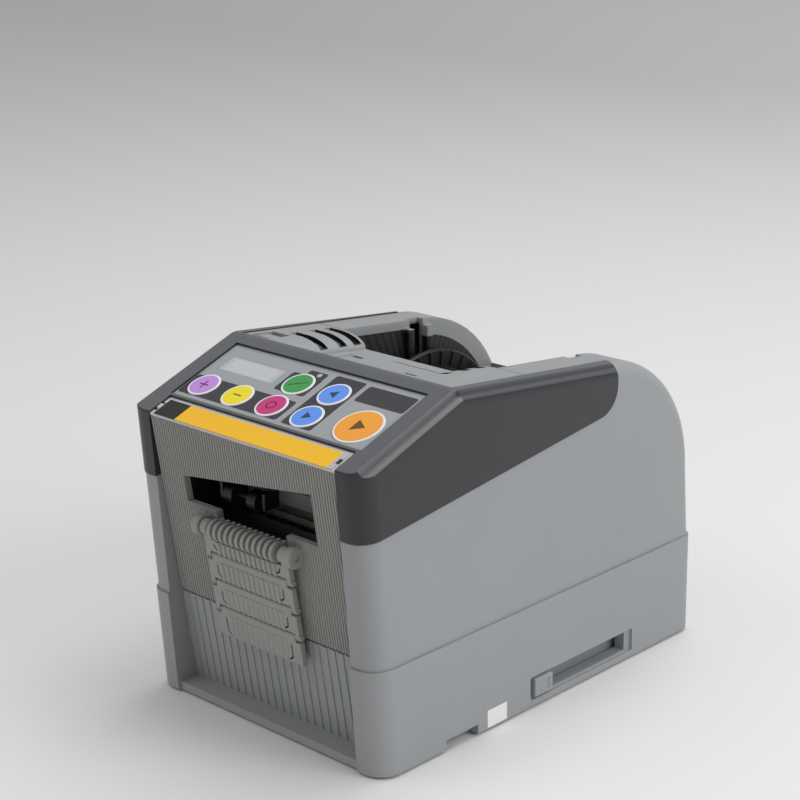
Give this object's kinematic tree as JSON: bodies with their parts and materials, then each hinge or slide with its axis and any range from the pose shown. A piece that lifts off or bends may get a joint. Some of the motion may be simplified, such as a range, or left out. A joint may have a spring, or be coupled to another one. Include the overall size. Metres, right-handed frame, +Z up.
{
  "type": "electric tape dispenser",
  "caption": "Counter machine with a sloping key panel that feeds tape from a reel in its rear bay, cuts it and hands it out under a hinged front guard.",
  "frame": {"origin": "middle of the footprint of the whole machine, on the table under its feet", "axes": "+X to the right as seen from the front, -Y out of the front, +Z up"},
  "size_m": [0.137, 0.2132, 0.1495],
  "materials": {
    "case_plastic": "fine moulded texture",
    "head_plastic": "satin",
    "plate_plastic": "fine moulded ribs",
    "overlay_film": "printed film",
    "window_film": "pale window over unlit digits",
    "lamp_lens": "milky lens",
    "label_film": "plain yellow film",
    "black_plastic": "moulded",
    "motor_can": "satin",
    "bright_steel": "brushed",
    "ballast_iron": "rough",
    "bush_brass": "sintered",
    "board": "green board",
    "gear_nylon": "moulded nylon",
    "roller_rubber": "ground rubber",
    "foot_rubber": "moulded rubber",
    "rocker_black": "gloss",
    "key_plus_film": "printed film",
    "key_minus_film": "printed film",
    "key_select_film": "printed film",
    "key_mode_film": "printed film",
    "key_reverse_film": "printed film",
    "key_forward_film": "printed film",
    "key_start_film": "printed film"
  },
  "bodies": {
    "chassis": {"lower_case": "case_plastic", "upper_case": "case_plastic", "head_cover": "head_plastic", "front_plate": "plate_plastic", "deck_plate": "case_plastic", "tape_bay": "case_plastic", "keypad_overlay": "overlay_film", "display_window": "window_film", "status_lamp": "lamp_lens", "display_board": "board", "label_strip": "label_film", "outlet_throat": "black_plastic", "blade_guard": "bright_steel", "frame_left": "bright_steel", "frame_right": "bright_steel", "centre_bracket": "bright_steel", "frame_tie_bars": "bright_steel", "fixed_blade": "bright_steel", "feed_motor": "motor_can", "cutter_motor": "motor_can", "feed_bushes": "bush_brass", "main_board": "board", "power_jack": "black_plastic", "power_switch_body": "black_plastic", "ballast_plate": "ballast_iron", "rubber_feet": "foot_rubber", "slider_track": "black_plastic", "tape_sensor": "black_plastic", "case_screws": "bright_steel", "frame_screws": "bright_steel"},
    "key_plus": {"button_plus": "key_plus_film"},
    "key_minus": {"button_minus": "key_minus_film"},
    "key_select": {"button_select": "key_select_film"},
    "key_mode": {"button_mode": "key_mode_film"},
    "key_reverse": {"button_reverse": "key_reverse_film"},
    "key_forward": {"button_forward": "key_forward_film"},
    "key_start": {"button_start": "key_start_film"},
    "slider": {"side_slider": "case_plastic"},
    "rocker": {"rocker_switch": "rocker_black"},
    "guard_1": {"guard_link_1": "plate_plastic"},
    "guard_2": {"guard_link_2": "plate_plastic"},
    "guard_3": {"guard_link_3": "plate_plastic"},
    "guard_4": {"guard_link_4": "plate_plastic"},
    "axle": {"reel_axle": "bright_steel"},
    "reel": {"reel_drum": "black_plastic", "reel_flange": "black_plastic"},
    "guide": {"guide_roller": "gear_nylon"},
    "feed": {"feed_roller": "roller_rubber", "feed_shaft": "bright_steel", "feed_gear": "gear_nylon"},
    "idler": {"idler_gear": "gear_nylon"},
    "feed_pinion": {"motor_pinion": "gear_nylon"},
    "press": {"press_wheels": "roller_rubber", "press_shaft": "bright_steel"},
    "cutter": {"moving_blade": "bright_steel", "blade_carrier": "bright_steel"},
    "cutter_drive": {"cutter_gear": "gear_nylon"},
    "cutter_motor_pinion": {"cutter_pinion": "gear_nylon"},
    "exit": {"exit_wheels": "black_plastic"}
  },
  "joints": [
    {"name": "key_plus_press", "type": "slide", "parent": "chassis", "child": "key_plus", "axis": [0, 0.342, -0.9397], "range_m": [0, 0.0005], "stiffness_N_per_m": 600, "springref_m": -0.001},
    {"name": "key_minus_press", "type": "slide", "parent": "chassis", "child": "key_minus", "axis": [0, 0.342, -0.9397], "range_m": [0, 0.0005], "stiffness_N_per_m": 600, "springref_m": -0.001},
    {"name": "key_select_press", "type": "slide", "parent": "chassis", "child": "key_select", "axis": [0, 0.342, -0.9397], "range_m": [0, 0.0005], "stiffness_N_per_m": 600, "springref_m": -0.001},
    {"name": "key_mode_press", "type": "slide", "parent": "chassis", "child": "key_mode", "axis": [0, 0.342, -0.9397], "range_m": [0, 0.0005], "stiffness_N_per_m": 600, "springref_m": -0.001},
    {"name": "key_reverse_press", "type": "slide", "parent": "chassis", "child": "key_reverse", "axis": [0, 0.342, -0.9397], "range_m": [0, 0.0005], "stiffness_N_per_m": 600, "springref_m": -0.001},
    {"name": "key_forward_press", "type": "slide", "parent": "chassis", "child": "key_forward", "axis": [0, 0.342, -0.9397], "range_m": [0, 0.0005], "stiffness_N_per_m": 600, "springref_m": -0.001},
    {"name": "key_start_press", "type": "slide", "parent": "chassis", "child": "key_start", "axis": [0, 0.342, -0.9397], "range_m": [0, 0.0005], "stiffness_N_per_m": 600, "springref_m": -0.001},
    {"name": "side_slide", "type": "slide", "parent": "chassis", "child": "slider", "axis": [0, 1, 0], "range_m": [0, 0.045]},
    {"name": "rocker_tip", "type": "hinge", "parent": "chassis", "child": "rocker", "pos_m": [-0.035, 0.0991, 0.0142], "axis": [1, 0, 0], "range_deg": [0, 16]},
    {"name": "guard_fold_1", "type": "hinge", "parent": "chassis", "child": "guard_1", "pos_m": [0, -0.1023, 0.08598], "axis": [-1, 0, 0], "range_deg": [0, 80]},
    {"name": "guard_fold_2", "type": "hinge", "parent": "guard_1", "child": "guard_2", "pos_m": [0, -0.10052, 0.07371], "axis": [-1, 0, 0], "range_deg": [0, 40]},
    {"name": "guard_fold_3", "type": "hinge", "parent": "guard_2", "child": "guard_3", "pos_m": [0, -0.09874, 0.06143], "axis": [-1, 0, 0], "range_deg": [0, 40]},
    {"name": "guard_fold_4", "type": "hinge", "parent": "guard_3", "child": "guard_4", "pos_m": [0, -0.09696, 0.04916], "axis": [-1, 0, 0], "range_deg": [0, 40]},
    {"name": "reel_lift", "type": "slide", "parent": "chassis", "child": "axle", "axis": [0, 0, 1], "range_m": [0, 0.13]},
    {"name": "reel_spin", "type": "hinge", "parent": "axle", "child": "reel", "pos_m": [0, 0.0441, 0.07988], "axis": [1, 0, 0], "continuous": true},
    {"name": "guide_spin", "type": "hinge", "parent": "chassis", "child": "guide", "pos_m": [0, -0.01182, 0.11098], "axis": [1, 0, 0], "continuous": true},
    {"name": "feed_spin", "type": "hinge", "parent": "chassis", "child": "feed", "pos_m": [0, -0.05961, 0.08383], "axis": [1, 0, 0], "continuous": true},
    {"name": "idler_spin", "type": "hinge", "parent": "chassis", "child": "idler", "pos_m": [0, -0.04861, 0.06478], "axis": [1, 0, 0], "continuous": true},
    {"name": "motor_spin", "type": "hinge", "parent": "chassis", "child": "feed_pinion", "pos_m": [0, -0.04395, 0.04739], "axis": [1, 0, 0], "continuous": true},
    {"name": "press_spin", "type": "hinge", "parent": "chassis", "child": "press", "pos_m": [0, -0.05961, 0.10063], "axis": [1, 0, 0], "continuous": true},
    {"name": "cut_stroke", "type": "slide", "parent": "chassis", "child": "cutter", "axis": [0, 0, 1], "range_m": [0, 0.009]},
    {"name": "cutter_gear_spin", "type": "hinge", "parent": "chassis", "child": "cutter_drive", "pos_m": [0, -0.06556, 0.05798], "axis": [1, 0, 0], "range_deg": [-65.46, 1]},
    {"name": "cutter_motor_spin", "type": "hinge", "parent": "chassis", "child": "cutter_motor_pinion", "pos_m": [0, -0.05409, 0.04995], "axis": [1, 0, 0], "range_deg": [-1, 86.94]},
    {"name": "exit_spin", "type": "hinge", "parent": "chassis", "child": "exit", "pos_m": [0, -0.08961, 0.09788], "axis": [1, 0, 0], "continuous": true}
  ],
  "couplings": [
    {"joint": "idler_spin", "follows": "feed_spin", "ratio": -0.83333},
    {"joint": "motor_spin", "follows": "feed_spin", "ratio": 1.6667},
    {"joint": "press_spin", "follows": "feed_spin", "ratio": -1.2},
    {"joint": "cutter_gear_spin", "follows": "cut_stroke", "rad_per_m": -125},
    {"joint": "cutter_motor_spin", "follows": "cut_stroke", "rad_per_m": 166.67}
  ]
}
